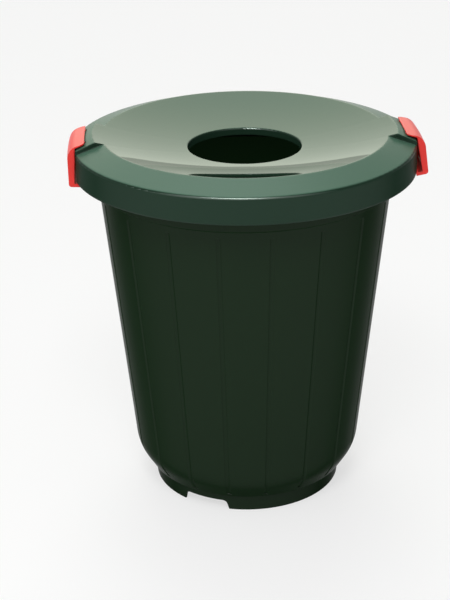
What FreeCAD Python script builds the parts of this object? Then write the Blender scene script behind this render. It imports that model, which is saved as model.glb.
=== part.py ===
import FreeCAD, Part
import math
import os

from FreeCAD import Vector

# A round lidded bin: a tapered tub, a dished lid with a drop hole and two latch clips that swing on the lid's ears.
# Millimetres, +Z up, origin at the middle of the base, ears on the X axis, front towards -Y.

# Foot ring with arched gaps
foot_r = 134.5
foot_draft = 2.5
foot_wall = 3.2
foot_gap_count = 3
foot_gap_angle = 30.0
foot_gap_height = 14.0

# Tub wall and base
wall = 2.8
base_z = 26.0
base_step = 6.0
base_round = 2.5
shoulder_step = 18.5
shoulder_rise = 30.0
shoulder_round = 60.0
wall_top_r = 202.0
collar_z = 448.5

# Grooves down the wall
groove_count = 18
groove_phase = -3.8
groove_width = 7.0
groove_depth = 1.3
groove_top_gap = 9.0
groove_bottom_gap = 6.0

# Tub collar and rolled rim, which the lid hides
collar_proud = 2.2
collar_step = 2.0
collar_height = 55.5
rim_overhang = 22.3
rim_drop = 32.0

# Lid
lid_wall = 2.5
lip_gap = 6.0
lid_rise = 16.0
band_width = 39.0
band_fall = 12.7
skirt_height = 35.6
skirt_flare = 1.0
dish_r = 800.0
hole_r = 78.0
hole_lip = 10.0
hole_round = 2.0
crest_round = 3.0
edge_round = 4.0
ring_wall = 2.0
seat_gap = 0.3
seat_inset = 10.0
guide_gap = 1.0
guide_depth = 7.0

# Ears of the lid: the dish runs further out there and falls to a straight chord
chord_cut = 5.0
ear_push = 12.5
ear_fall = 9.0
ear_root_half = 42.5
ear_tip_half = 47.5
ear_round = 1.6

# Hinge of a clip: stub pins beside slots in the ear, which the clip's ribs reach through
pin_r = 1.3
pin_clearance = 0.08
pin_depth = 2.0
axis_inset = 10.4
lug_half = 1.9
lug_y = 18.0
lug_width = 6.0
rib_gap = 0.4
rib_width = 4.6
boss_wall = 0.95
slot_room = 0.9

# Latch clip, drawn latched
clip_half = 42.5
clip_inner_half = 40.0
clip_corner = 3.0
clip_curve_r = 900.0
clip_reach = 11.8
clip_depth = 12.0
clip_skin = 2.3
clip_taper = 3.0
clip_drop = 11.5
pad_gap = 1.0
pad_wall = 1.7
pad_round = 0.8
bend_round = 19.0
heel_round = 4.0
flange_wall = 2.2
flange_gap = 0.5
flange_foot = 4.5
hook_plate = 3.0
hook_grip = 1.1
hook_play = 1.7
hook_bead = 2.4
left_rest = 3.0
right_rest = 11.0

# Radii that follow from the ones above
base_edge_r = foot_r + foot_draft + base_step
shoulder_r = base_edge_r + shoulder_step
collar_r = wall_top_r + collar_proud
mouth_r = collar_r - wall
lip_r = collar_r + rim_overhang
rim_r = lip_r + lip_gap + lid_wall
crest_r = rim_r - band_width
chord_x = rim_r - chord_cut
ear_crest_r = crest_r + ear_push
axis_x = chord_x - axis_inset
clip_tip_x = chord_x - clip_reach
clip_outer_x = chord_x + clip_depth
hook_r = lip_r - hook_grip
boss_r = pin_r + pin_clearance + boss_wall
rib_y = lug_y + lug_width + rib_gap
rib_end = rib_y + rib_width

# Heights that follow
shoulder_z = base_z + shoulder_rise
rim_top_z = collar_z + collar_height
lip_z = rim_top_z - rim_drop
crest_z = rim_top_z + lid_rise
edge_z = crest_z - band_fall
skirt_z = edge_z - skirt_height
dish_centre_z = crest_z + math.sqrt(dish_r ** 2 - crest_r ** 2)
clip_bottom_z = lip_z - clip_drop
sky_z = 2 * crest_z


def dish_z(radius):
    """Height of the dish at a radius."""
    return dish_centre_z - math.sqrt(dish_r ** 2 - radius ** 2)


plateau_fall = ear_fall / (chord_x - ear_crest_r)


def plateau_z(x):
    """Height of an ear's top on the X axis."""
    return dish_z(ear_crest_r) - plateau_fall * (x - ear_crest_r)


axis_z = plateau_z(axis_x) - pin_depth


def corner(before, at, after, radius):
    """Start, middle and end of the arc that rounds the corner between two straight lines."""
    back = (before - at).normalize()
    ahead = (after - at).normalize()
    half = back.getAngle(ahead) / 2
    run = radius / math.tan(half)
    middle = at + (back + ahead).normalize() * (radius / math.sin(half) - radius)
    return at + back * run, middle, at + ahead * run


def rounded(points):
    """Closed wire in the XZ plane through (x, z, corner radius) points, with the corners as tangent arcs."""
    places = [Vector(x, 0, z) for x, z, radius in points]
    corners = []
    for i, (x, z, radius) in enumerate(points):
        if radius > 0:
            corners.append(corner(places[i - 1], places[i], places[(i + 1) % len(places)], radius))
        else:
            corners.append((places[i], None, places[i]))
    edges = []
    for i, (start, middle, end) in enumerate(corners):
        if middle is not None:
            edges.append(Part.Arc(start, middle, end).toShape())
        following = corners[(i + 1) % len(corners)][0]
        if end.distanceToPoint(following) > 1e-6:
            edges.append(Part.LineSegment(end, following).toShape())
    return Part.Wire(edges)


def turned(wire, axis_place=0.0):
    """Solid of revolution of an XZ outline about an upright axis."""
    return Part.Face(wire).revolve(Vector(axis_place, 0, 0), Vector(0, 0, 1), 360)


def extruded(wire, low_y, high_y):
    """Prism of an XZ outline between two places along Y."""
    face = Part.Face(wire)
    face.translate(Vector(0, low_y, 0))
    return face.extrude(Vector(0, high_y - low_y, 0))


def box(low, high):
    """Block between two corners."""
    size = Vector(*high) - Vector(*low)
    return Part.makeBox(size.x, size.y, size.z, Vector(*low))


def cylinder_y(radius, x, z, low_y, high_y):
    """Cylinder along Y."""
    return Part.makeCylinder(radius, high_y - low_y, Vector(x, low_y, z), Vector(0, 1, 0))


def ring(inner_r, outer_r, low_z, high_z):
    """Plain tube about Z."""
    tube = Part.makeCylinder(outer_r, high_z - low_z, Vector(0, 0, low_z))
    return tube.cut(Part.makeCylinder(inner_r, high_z - low_z, Vector(0, 0, low_z)))


def turned_copies(shape, count, phase):
    """Copies of a shape spread evenly about Z, the first turned by the phase."""
    copies = []
    for i in range(count):
        copy = shape.copy()
        copy.rotate(Vector(0, 0, 0), Vector(0, 0, 1), phase + i * 360.0 / count)
        copies.append(copy)
    return copies


def tub_wall():
    """Floor, foot ring, tapered wall, collar and rolled rim as one turned shell."""
    rim_under = rim_top_z - wall
    floor_top = base_z + wall
    step_z = collar_z + collar_step
    return turned(rounded([
        (0, base_z, 0),
        (foot_r + foot_draft - foot_wall, base_z, 0),
        (foot_r - foot_wall, 0, 0),
        (foot_r, 0, 0),
        (foot_r + foot_draft, base_z, 0),
        (base_edge_r, base_z, base_round),
        (shoulder_r, shoulder_z, shoulder_round),
        (wall_top_r, collar_z, 0),
        (collar_r, step_z, 0),
        (collar_r, rim_under, 0),
        (lip_r - wall, rim_under, 0),
        (lip_r - wall, lip_z, 0),
        (lip_r, lip_z, 0),
        (lip_r, rim_top_z, 0),
        (mouth_r, rim_top_z, 0),
        (mouth_r, step_z, 0),
        (wall_top_r - wall, collar_z, 0),
        (shoulder_r - wall, shoulder_z + wall / 2, shoulder_round - wall),
        (base_edge_r, floor_top, 0),
        (0, floor_top, 0),
    ]))


def groove_cutter():
    """Round bar that follows the wall and the shoulder, sunk by the groove's depth."""
    bar_r = (groove_width ** 2 / 4 + groove_depth ** 2) / (2 * groove_depth)
    lift = bar_r - groove_depth
    top = Vector(wall_top_r, 0, collar_z)
    bend = Vector(shoulder_r, 0, shoulder_z)
    bottom = Vector(base_edge_r, 0, base_z)
    down = (bend - top).normalize()
    inward = (bottom - bend).normalize()
    first = top + down * groove_top_gap
    last = bottom - inward * groove_bottom_gap
    start, middle, end = corner(top, bend, bottom, shoulder_round)
    path = Part.Wire([
        Part.LineSegment(first, start).toShape(),
        Part.Arc(start, middle, end).toShape(),
        Part.LineSegment(end, last).toShape(),
    ])
    section = Part.Wire([Part.makeCircle(bar_r, first + Vector(-down.z, 0, down.x) * lift, down)])
    return path.makePipeShell([section], True, False)


def foot_gap():
    """Arched opening through the foot ring on the X axis."""
    half = foot_r * math.sin(math.radians(foot_gap_angle / 2))
    slant = foot_gap_height / 4
    arch = rounded([
        (-half - slant, -foot_gap_height, 0),
        (half + slant, -foot_gap_height, 0),
        (half - slant, foot_gap_height, foot_gap_height / 2),
        (slant - half, foot_gap_height, foot_gap_height / 2),
    ])
    block = extruded(arch, -foot_r - foot_draft - foot_wall, -foot_r / 2)
    block.rotate(Vector(0, 0, 0), Vector(0, 0, 1), 90)
    return block


def make_tub():
    """The body of the bin."""
    tub = tub_wall()
    tub = tub.cut(turned_copies(foot_gap(), foot_gap_count, 0))
    return tub.cut(turned_copies(groove_cutter(), groove_count, groove_phase))


def lid_mass(inset, peak_r, slope, edge_r):
    """Everything under the lid's top, inset by a wall: a dish up to a crest, then a band that falls to an edge."""
    along = Vector(math.cos(slope), 0, -math.sin(slope))
    upward = Vector(math.sin(slope), 0, math.cos(slope))
    dish_centre = Vector(0, 0, dish_centre_z)
    # the crest's arc touches the band below its line and the dish outside its circle
    below = Vector(peak_r, 0, dish_z(peak_r)) - upward * crest_round - dish_centre
    reach = below.dot(along)
    shift = math.sqrt(reach ** 2 - below.dot(below) + (dish_r + crest_round) ** 2) - reach
    crest = dish_centre + below + along * shift
    towards = (dish_centre - crest).normalize()
    arc_r = crest_round - inset
    crest_in = crest + towards * arc_r
    crest_mid = crest + (towards + upward).normalize() * arc_r
    crest_out = crest + upward * arc_r
    edge_x = edge_r - inset
    edge = crest_out + along * ((edge_x - crest_out.x) / along.x)
    low = Vector(edge_x + skirt_flare, 0, skirt_z - inset)
    edge_in, edge_mid, edge_out = corner(crest_out, edge, low, edge_round - inset)
    dish_inset = dish_r + inset
    half_x = crest_in.x / 2
    dish_mid = dish_centre + Vector(half_x, 0, -math.sqrt(dish_inset ** 2 - half_x ** 2))
    dish_low = dish_centre - Vector(0, 0, dish_inset)
    axis_low = Vector(0, 0, low.z)
    return turned(Part.Wire([
        Part.LineSegment(axis_low, low).toShape(),
        Part.LineSegment(low, edge_out).toShape(),
        Part.Arc(edge_out, edge_mid, edge_in).toShape(),
        Part.LineSegment(edge_in, crest_out).toShape(),
        Part.Arc(crest_out, crest_mid, crest_in).toShape(),
        Part.Arc(crest_in, dish_mid, dish_low).toShape(),
        Part.LineSegment(dish_low, axis_low).toShape(),
    ]))


def ear_prism(inset):
    """Plan outline of both ears as one tall bar, wider towards its ends."""
    spread = (ear_tip_half - ear_root_half) / (chord_x - crest_r)
    far = chord_x - inset
    tip = ear_tip_half - spread * inset - inset
    root = tip - spread * far
    corners = [(far, tip), (0, root), (-far, tip), (-far, -tip), (0, -root), (far, -tip), (far, tip)]
    plan = Part.makePolygon([Vector(x, y, 0) for x, y in corners])
    return Part.Face(plan).extrude(Vector(0, 0, sky_z))


def lid_block(inset):
    """The lid's outside, or its inside for a wall's inset, as one solid with the ears."""
    band = math.atan2(band_fall, band_width)
    plateau = math.atan(plateau_fall)
    ears = lid_mass(inset, ear_crest_r, plateau, rim_r + ear_tip_half).common(ear_prism(inset))
    reach = chord_x - inset
    slab = box((-reach, -2 * rim_r, 0), (reach, 2 * rim_r, sky_z))
    return lid_mass(inset, crest_r, band, rim_r).fuse(ears).common(slab)


def is_ear_edge(edge):
    """Whether an edge is the top edge of an ear along its chord."""
    ends = [vertex.Point for vertex in edge.Vertexes]
    on_chord = all(abs(abs(p.x) - chord_x) < 0.01 and p.z > edge_z for p in ends)
    return on_chord and edge.Length > ear_tip_half


def hole_cutter(low_z):
    """Round bar for the drop hole, flared at the dish by the hole's rounding."""
    rim = Vector(hole_r, 0, dish_z(hole_r))
    uphill = Vector(dish_centre_z - rim.z, 0, hole_r)
    start, middle, end = corner(rim - Vector(0, 0, hole_lip), rim, rim + uphill, hole_round)
    wall_side = [Vector(0, 0, low_z), Vector(hole_r, 0, low_z), start]
    top_side = [end, Vector(end.x, 0, crest_z), Vector(0, 0, crest_z), wall_side[0]]
    return turned(Part.Wire([
        Part.makePolygon(wall_side),
        Part.Arc(start, middle, end).toShape(),
        Part.makePolygon(top_side),
    ]))


def hinge_slots():
    """Slots through the right ear's top for the ribs of its clip."""
    low_x = axis_x - boss_r - slot_room
    high_x = axis_x + boss_r + slot_room
    slots = []
    for side in (-1, 1):
        low, high = sorted((side * (rib_y - rib_gap), side * (rib_end + rib_gap)))
        slots.append(box((low_x, low, axis_z - 2 * boss_r), (high_x, high, sky_z)))
    return slots


def hinge_lugs(roof):
    """Lugs under the right ear's top, with stub pins that face away from each other."""
    lugs = []
    for side in (-1, 1):
        low, high = sorted((side * lug_y, side * (lug_y + lug_width)))
        web = box((axis_x - lug_half, low, axis_z), (axis_x + lug_half, high, sky_z)).common(roof)
        lugs.append(web.fuse(cylinder_y(lug_half, axis_x, axis_z, low, high)))
        low, high = sorted((side * (lug_y + lug_width / 2), side * rib_end))
        lugs.append(cylinder_y(pin_r, axis_x, axis_z, low, high))
    return lugs


def both_ears(shapes):
    """The shapes of the right ear with their copies on the left ear."""
    return shapes + turned_copies(Part.makeCompound(shapes), 1, 180)


def make_lid():
    """The dished cap with its hole, skirt, ears, guide rings and hinges."""
    block = lid_block(0.0)
    block = block.makeFillet(ear_round, [edge for edge in block.Edges if is_ear_edge(edge)])
    lip_low = dish_z(hole_r) - hole_lip
    roof = block.cut(hole_cutter(lip_low))
    guide_r = mouth_r - guide_gap
    seat_r = lip_r - seat_inset
    rings = [
        ring(hole_r, hole_r + ring_wall, lip_low, crest_z),
        ring(guide_r - ring_wall, guide_r, rim_top_z - guide_depth, crest_z),
        ring(seat_r - ring_wall, seat_r, rim_top_z + seat_gap, crest_z),
    ]
    shell = roof.cut(lid_block(lid_wall))
    shell = shell.fuse([tube.common(roof) for tube in rings])
    shell = shell.cut(both_ears(hinge_slots()))
    return shell.fuse(both_ears(hinge_lugs(roof))).removeSplitter()


def pad_under(x):
    """Height of the underside of a latched clip's pad, or of its run beyond the bend."""
    return plateau_z(x) + pad_gap


def clip_fill():
    """Filled side view of a latched clip."""
    return rounded([
        (clip_tip_x, pad_under(clip_tip_x) + pad_wall, pad_round),
        (clip_outer_x, pad_under(clip_outer_x) + clip_skin, bend_round),
        (clip_outer_x - clip_taper, clip_bottom_z, heel_round),
        (hook_r - clip_half, clip_bottom_z, 0),
        (hook_r - clip_half, clip_bottom_z + hook_plate, 0),
        (clip_tip_x, pad_under(clip_tip_x), 0),
    ])


def clip_hollow():
    """Space inside the clip's skin, open towards the ear."""
    open_x = hook_r - 2 * clip_half
    inner_x = clip_outer_x - clip_skin
    return rounded([
        (open_x, pad_under(open_x), 0),
        (inner_x, pad_under(inner_x), bend_round - clip_skin),
        (inner_x - clip_taper, clip_bottom_z + hook_plate, heel_round / 2),
        (open_x, clip_bottom_z + hook_plate, 0),
    ])


def clip_plan():
    """Plan of the clip as a tall prism: straight ends and a pad whose inner corners are cut and rounded."""
    shoulder_x = (clip_tip_x + chord_x) / 2
    far_x = 2 * clip_outer_x
    flat = Part.Face(rounded([
        (clip_tip_x, -clip_inner_half, clip_corner),
        (shoulder_x, -clip_half, clip_corner),
        (far_x, -clip_half, 0),
        (far_x, clip_half, 0),
        (shoulder_x, clip_half, clip_corner),
        (clip_tip_x, clip_inner_half, clip_corner),
    ]))
    flat.rotate(Vector(0, 0, 0), Vector(1, 0, 0), 90)
    return flat.extrude(Vector(0, 0, sky_z))


def curved(wire):
    """Solid of an XZ outline that bows gently out in plan."""
    return turned(wire, clip_outer_x - clip_curve_r)


def clip_body():
    """Skin, pad, end flanges and hook of a latched clip."""
    long_y = 2 * clip_half
    fill = curved(clip_fill())
    hollow = curved(clip_hollow())
    # the pad keeps to its plan, and below it the hook runs in under the rim
    above = box((clip_tip_x, -clip_half, lip_z), (2 * clip_outer_x, clip_half, sky_z)).common(clip_plan())
    below = box((0, -clip_half, 0), (2 * clip_outer_x, clip_half, lip_z))
    below = below.cut(Part.makeCylinder(hook_r, lip_z))
    bead = ring(hook_r, hook_r + hook_bead, clip_bottom_z + hook_plate / 2, lip_z - hook_play)
    bead = bead.common(below)
    middle = box((0, flange_wall - clip_half, 0), (2 * clip_outer_x, clip_half - flange_wall, sky_z))
    ends = fill.cut(middle)
    edge_x = chord_x + flange_gap
    ends = ends.cut(box((0, -long_y, clip_bottom_z + flange_foot), (edge_x, long_y, sky_z)))
    space = Part.makeCompound([above, below])
    return fill.cut(hollow).fuse(ends).common(space).fuse(bead)


def clip_ribs():
    """Two ribs that hang from the pad, with the bores that snap over the stub pins."""
    ribs = []
    for side in (-1, 1):
        low, high = sorted((side * rib_y, side * rib_end))
        top = pad_under(axis_x + boss_r) + pad_wall / 2
        web = box((axis_x - boss_r, low, axis_z), (axis_x + boss_r, high, top))
        ribs.append(web.fuse(cylinder_y(boss_r, axis_x, axis_z, low, high)))
    return ribs


def make_clip(side, rest):
    """One latch clip on the ear of the given side, swung open from its latch by the rest angle."""
    clip = clip_body().fuse(clip_ribs())
    clip = clip.cut(cylinder_y(pin_r + pin_clearance, axis_x, axis_z, -clip_half, clip_half)).removeSplitter()
    clip.rotate(Vector(axis_x, 0, axis_z), Vector(0, -1, 0), rest)
    if side < 0:
        clip.rotate(Vector(0, 0, 0), Vector(0, 0, 1), 180)
    return clip


os.makedirs("parts", exist_ok=True)
pieces = {
    "tub": make_tub(),
    "lid": make_lid(),
    "left_clip": make_clip(-1, left_rest),
    "right_clip": make_clip(1, right_rest),
}
for name, shape in pieces.items():
    print(name, "solids", len(shape.Solids), "valid", shape.isValid(), "volume", round(shape.Volume))
    shape.Solids[0].exportStep("parts/" + name + ".step")
print("hinge axis", round(axis_x, 3), round(axis_z, 3))
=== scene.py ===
import math

import bpy
from mathutils import Matrix, Vector

# A round lidded bin in glossy dark green plastic, with two red latch clips, on a pale studio floor.

# Camera, fitted to the photograph's circles and outlines
distance = 2.0
height = 1.1505
turn = math.radians(3.8)
pitch = math.radians(23.825)
roll = math.radians(-0.807)
yaw = math.radians(-0.858)
focal_pixels = 1524.0
image_height = 600
sensor_width = 36.0

# Colours, linear
tub_green = (0.0070, 0.0205, 0.0074, 1.0)
lid_green = (0.0130, 0.0330, 0.0200, 1.0)
# Paler green painted on the band's upward faces: painted sheen of the light from above
painted_sheen_green = (0.0660, 0.1400, 0.0960, 1.0)
clip_red = (0.88, 0.047, 0.039, 1.0)
floor_colour = (0.96, 0.96, 0.96, 1.0)
dish_tint = (0.50, 1.0, 0.68, 1.0)
band_tint = (0.83, 1.0, 0.90, 1.0)
high_window_colour = (1.0, 1.0, 1.0, 1.0)
low_window_colour = (0.96, 1.0, 0.86, 1.0)

# Finish of the lid: a glossy dark dish, whose faces lean in, and a satin band, whose faces lean out, with
# the band's upward faces painted a paler green as a painted sheen
crest_lean = (0.0, 0.02)
dish_roughness = 0.035
dish_shine = 0.5
band_roughness = 0.30

# Finish of each plastic: roughness, shine of walls, rounded edges and tops, and softness of sharp edges
tub_finish = {
    "roughness": 0.25,
    "wall_shine": 0.12,
    "edge_shine": 0.3,
    "top_shine": (0.5, 0.5),
    "softness": 0.0008,
}
lid_finish = {
    "roughness": band_roughness,
    "wall_shine": 0.18,
    "edge_shine": 2.2,
    "top_shine": (0.22, 0.12),
    "softness": 0.0038,
}
clip_finish = {
    "roughness": 0.3,
    "wall_shine": 0.2,
    "edge_shine": 0.4,
    "top_shine": (0.33, 0.33),
    "softness": 0.0024,
}
softness_samples = 8
plastic_ior = 1.5

# Rise of a face's normal: from walls to rounded edges, and from rounded edges to tops
leave_walls = (0.1, 0.5)
reach_tops = (0.7, 0.9)

# Shine changes as a face turns away from the camera: bounds of the change, and where walls and edges end
wall_fall = (0.12, 0.55)
wall_end = 0.004
top_fall = (0.33, 0.65)
edge_fall = (0.05, 0.15)
edge_end = 0.1

# Floor
floor_size = 70.0
floor_roughness = 0.9
floor_glow = 0.65

# Studio light: a broad soft window behind, a soft box above the front, dim surroundings and a faint fill
dim_light = (0.80, 0.22)
window_low = 1.52
window_high = 3.6
window_climb = 2.0
window_turn = math.radians(1.0)
window_half = math.radians(14.0)
window_fade = math.radians(22.0)
window_top = math.radians(70.0)
window_sill = (math.radians(4.5), math.radians(4.9))
window_warmth = (math.radians(24.0), math.radians(70.0))
above_top = 0.3
below_sill = 0.5
lamp_place = (-0.28, -1.7, 2.6)
lamp_target = (0.0, 0.0, 0.5)
lamp_size = 0.95
lamp_radiance = 9.5
fill_place = (0.0, 0.0, 0.25)
fill_radius = 0.05
fill_power = 1.0

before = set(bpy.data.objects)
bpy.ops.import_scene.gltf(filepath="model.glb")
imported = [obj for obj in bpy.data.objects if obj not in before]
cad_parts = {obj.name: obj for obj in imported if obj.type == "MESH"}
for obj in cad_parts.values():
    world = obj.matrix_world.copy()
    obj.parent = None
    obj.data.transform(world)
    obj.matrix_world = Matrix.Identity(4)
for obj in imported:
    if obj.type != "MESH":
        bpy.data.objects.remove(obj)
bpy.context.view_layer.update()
scene = bpy.context.scene
scene.view_settings.view_transform = "Standard"


def map_range(nodes, links, value, low, high, at_low, at_high, smooth=False):
    """Node output that carries a value from one range to another."""
    node = nodes.new("ShaderNodeMapRange")
    if smooth:
        node.interpolation_type = "SMOOTHSTEP"
    links.new(value, node.inputs["Value"])
    for socket, number in zip(("From Min", "From Max", "To Min", "To Max"), (low, high, at_low, at_high)):
        if isinstance(number, bpy.types.NodeSocket):
            links.new(number, node.inputs[socket])
        else:
            node.inputs[socket].default_value = number
    return node.outputs["Result"]


def blend(nodes, links, share, at_none, at_full):
    """Node output that goes from one value to another as a share goes from 0 to 1."""
    return map_range(nodes, links, share, 0.0, 1.0, at_none, at_full)


def blend_colours(nodes, links, share, at_none, at_full):
    """Node output that goes from one colour to another as a share goes from 0 to 1."""
    node = nodes.new("ShaderNodeMix")
    node.data_type = "RGBA"
    links.new(share, node.inputs["Factor"])
    first, second = [socket for socket in node.inputs if socket.type == "RGBA"]
    first.default_value = at_none
    second.default_value = at_full
    return [socket for socket in node.outputs if socket.type == "RGBA"][0]


def plastic(name, colour, roughness, wall_shine, edge_shine, top_shine, softness):
    """Smooth moulded plastic with softened edges and duller upright walls."""
    material = bpy.data.materials.new(name)
    material.use_nodes = True
    nodes = material.node_tree.nodes
    links = material.node_tree.links
    shader = nodes["Principled BSDF"]
    shader.inputs["Base Color"].default_value = colour
    shader.inputs["Roughness"].default_value = roughness
    shader.inputs["IOR"].default_value = plastic_ior
    edge = nodes.new("ShaderNodeBevel")
    edge.samples = softness_samples
    edge.inputs["Radius"].default_value = softness
    links.new(edge.outputs["Normal"], shader.inputs["Normal"])
    surface = nodes.new("ShaderNodeNewGeometry")
    facing = nodes.new("ShaderNodeSeparateXYZ")
    facing.name = "facing"
    links.new(surface.outputs["Normal"], facing.inputs["Vector"])
    slant = nodes.new("ShaderNodeLayerWeight")
    wall = map_range(nodes, links, slant.outputs["Facing"], *wall_fall, wall_shine, wall_end, smooth=True)
    top = map_range(nodes, links, slant.outputs["Facing"], *top_fall, *top_shine)
    turned = map_range(nodes, links, slant.outputs["Facing"], *edge_fall, edge_shine, edge_end)
    rounded = map_range(nodes, links, facing.outputs["Z"], *leave_walls, wall, turned)
    shine = map_range(nodes, links, facing.outputs["Z"], *reach_tops, rounded, top)
    links.new(shine, shader.inputs["Specular IOR Level"])
    return material


def set_off_dish(material):
    """Change a lid plastic at the crest, from a satin band outside, whose upward faces get a paler painted
    sheen, to a glossy dark dish inside.
    """
    nodes = material.node_tree.nodes
    links = material.node_tree.links
    inputs = nodes["Principled BSDF"].inputs
    shine = inputs["Specular IOR Level"].links[0].from_socket
    surface = nodes.new("ShaderNodeNewGeometry")
    flat = nodes.new("ShaderNodeVectorMath")
    flat.operation = "MULTIPLY"
    flat.inputs[1].default_value = (1.0, 1.0, 0.0)
    links.new(surface.outputs["Position"], flat.inputs[0])
    lean = nodes.new("ShaderNodeVectorMath")
    lean.operation = "DOT_PRODUCT"
    links.new(flat.outputs["Vector"], lean.inputs[0])
    links.new(surface.outputs["Normal"], lean.inputs[1])
    outside = map_range(nodes, links, lean.outputs["Value"], *crest_lean, 0.0, 1.0)
    on_level = map_range(nodes, links, nodes["facing"].outputs["Z"], *reach_tops, 0.0, 1.0)
    off_dish = blend(nodes, links, on_level, 1.0, outside)
    painted_sheen_share = blend(nodes, links, on_level, 0.0, outside)
    polish = blend(nodes, links, on_level, shine, dish_shine)
    links.new(blend(nodes, links, outside, dish_roughness, band_roughness), inputs["Roughness"])
    links.new(blend(nodes, links, outside, polish, shine), inputs["Specular IOR Level"])
    links.new(blend_colours(nodes, links, off_dish, dish_tint, band_tint), inputs["Specular Tint"])
    # Upward faces outside the crest take the paler green: painted sheen, not a colour of the plastic
    links.new(blend_colours(nodes, links, painted_sheen_share, lid_green, painted_sheen_green), inputs["Base Color"])


def dress(node, material):
    """Give a CAD node its material."""
    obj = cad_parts[node]
    obj.data.materials.clear()
    obj.data.materials.append(material)


def make_floor():
    """Plain pale floor, which looks near white to the camera and in mirrored and clear pieces."""
    bpy.ops.mesh.primitive_plane_add(size=floor_size, location=(0, 0, 0))
    floor = bpy.context.object
    floor.name = "floor"
    material = bpy.data.materials.new("pale_floor")
    material.use_nodes = True
    nodes = material.node_tree.nodes
    links = material.node_tree.links
    shader = nodes["Principled BSDF"]
    shader.inputs["Base Color"].default_value = floor_colour
    shader.inputs["Roughness"].default_value = floor_roughness
    shader.inputs["Specular IOR Level"].default_value = 0.0
    path = nodes.new("ShaderNodeLightPath")
    share = 0.0
    for ray in ("Is Camera Ray", "Is Glossy Ray", "Is Transmission Ray"):
        share = blend(nodes, links, path.outputs[ray], share, floor_glow)
    glow = nodes.new("ShaderNodeEmission")
    mixed = nodes.new("ShaderNodeMixShader")
    links.new(share, mixed.inputs["Fac"])
    links.new(shader.outputs[0], mixed.inputs[1])
    links.new(glow.outputs[0], mixed.inputs[2])
    links.new(mixed.outputs[0], nodes["Material Output"].inputs["Surface"])
    floor.data.materials.append(material)


def soft_box():
    """Square soft box above the front that faces the lid."""
    lamp = bpy.data.lights.new("front_lamp", "AREA")
    lamp.shape = "SQUARE"
    lamp.size = lamp_size
    lamp.energy = lamp_radiance * math.pi * lamp_size * lamp_size
    obj = bpy.data.objects.new("front_lamp", lamp)
    scene.collection.objects.link(obj)
    obj.location = lamp_place
    obj.rotation_euler = (Vector(lamp_target) - Vector(lamp_place)).to_track_quat("-Z", "Y").to_euler()


def inside_fill():
    """Faint fill in the tub, so that its inside shows dark green through the hole."""
    lamp = bpy.data.lights.new("inside_fill", "POINT")
    lamp.energy = fill_power
    lamp.shadow_soft_size = fill_radius
    obj = bpy.data.objects.new("inside_fill", lamp)
    scene.collection.objects.link(obj)
    obj.location = fill_place
    obj.visible_camera = False
    obj.visible_glossy = False


def make_camera():
    """Camera at the photograph's place."""
    forward = Vector((math.sin(yaw) * math.cos(pitch), math.cos(yaw) * math.cos(pitch), -math.sin(pitch)))
    level = Vector((math.cos(yaw), -math.sin(yaw), 0))
    upright = level.cross(forward)
    right = level * math.cos(roll) + upright * math.sin(roll)
    up = upright * math.cos(roll) - level * math.sin(roll)
    place = Vector((0, -distance, height))
    about_z = Matrix.Rotation(-turn, 3, "Z")
    columns = [about_z @ v for v in (right, up, -forward)]
    camera = bpy.data.cameras.new("camera")
    camera.sensor_width = sensor_width
    camera.lens = focal_pixels / image_height * sensor_width
    obj = bpy.data.objects.new("camera", camera)
    scene.collection.objects.link(obj)
    rotation = Matrix(columns).transposed()
    obj.matrix_world = Matrix.Translation(about_z @ place) @ rotation.to_4x4()
    scene.camera = obj


def make_world():
    """Dim surroundings with one broad soft window of light behind and above the bin."""
    world = bpy.data.worlds.new("studio")
    scene.world = world
    world.use_nodes = True
    nodes = world.node_tree.nodes
    links = world.node_tree.links

    def math_node(operation, *values):
        node = nodes.new("ShaderNodeMath")
        node.operation = operation
        for socket, value in zip(node.inputs, values):
            if isinstance(value, float):
                socket.default_value = value
            else:
                links.new(value, socket)
        return node.outputs[0]

    def fade(value, low, high, at_low, at_high):
        return map_range(nodes, links, value, low, high, at_low, at_high, smooth=True)

    place = nodes.new("ShaderNodeTexCoord")
    turned = nodes.new("ShaderNodeVectorRotate")
    turned.rotation_type = "Z_AXIS"
    turned.inputs["Angle"].default_value = -window_turn
    links.new(place.outputs["Generated"], turned.inputs["Vector"])
    parts = nodes.new("ShaderNodeSeparateXYZ")
    links.new(turned.outputs["Vector"], parts.inputs["Vector"])
    azimuth = math_node("ABSOLUTE", math_node("ARCTAN2", parts.outputs["X"], parts.outputs["Y"]))
    rise = math_node("ARCSINE", parts.outputs["Z"])
    across = fade(azimuth, window_half, window_half + window_fade, 1.0, 0.0)
    share_of_top = math_node("MAXIMUM", math_node("DIVIDE", rise, window_top), 0.0)
    climb = math_node("POWER", share_of_top, window_climb)
    strength = math_node("ADD", math_node("MULTIPLY", climb, window_high - window_low), window_low)
    top = fade(rise, window_top, window_top + window_fade, 1.0, above_top)
    sill = fade(rise, *window_sill, below_sill, 1.0)
    window = math_node("MULTIPLY", math_node("MULTIPLY", across, strength), math_node("MULTIPLY", top, sill))
    warm = math_node("MULTIPLY", across, fade(rise, *window_warmth, 1.0, 0.0))
    sides = map_range(nodes, links, parts.outputs["X"], -1.0, 1.0, *dim_light)
    sky = nodes["Background"]
    links.new(blend_colours(nodes, links, warm, high_window_colour, low_window_colour), sky.inputs["Color"])
    links.new(math_node("MAXIMUM", window, sides), sky.inputs["Strength"])


tub_plastic = plastic("tub_green_plastic", tub_green, **tub_finish)
lid_plastic = plastic("lid_green_plastic", lid_green, **lid_finish)
set_off_dish(lid_plastic)
red_plastic = plastic("red_plastic", clip_red, **clip_finish)
dress("tub", tub_plastic)
dress("lid", lid_plastic)
dress("left_clip", red_plastic)
dress("right_clip", red_plastic)
make_floor()
make_world()
soft_box()
inside_fill()
make_camera()
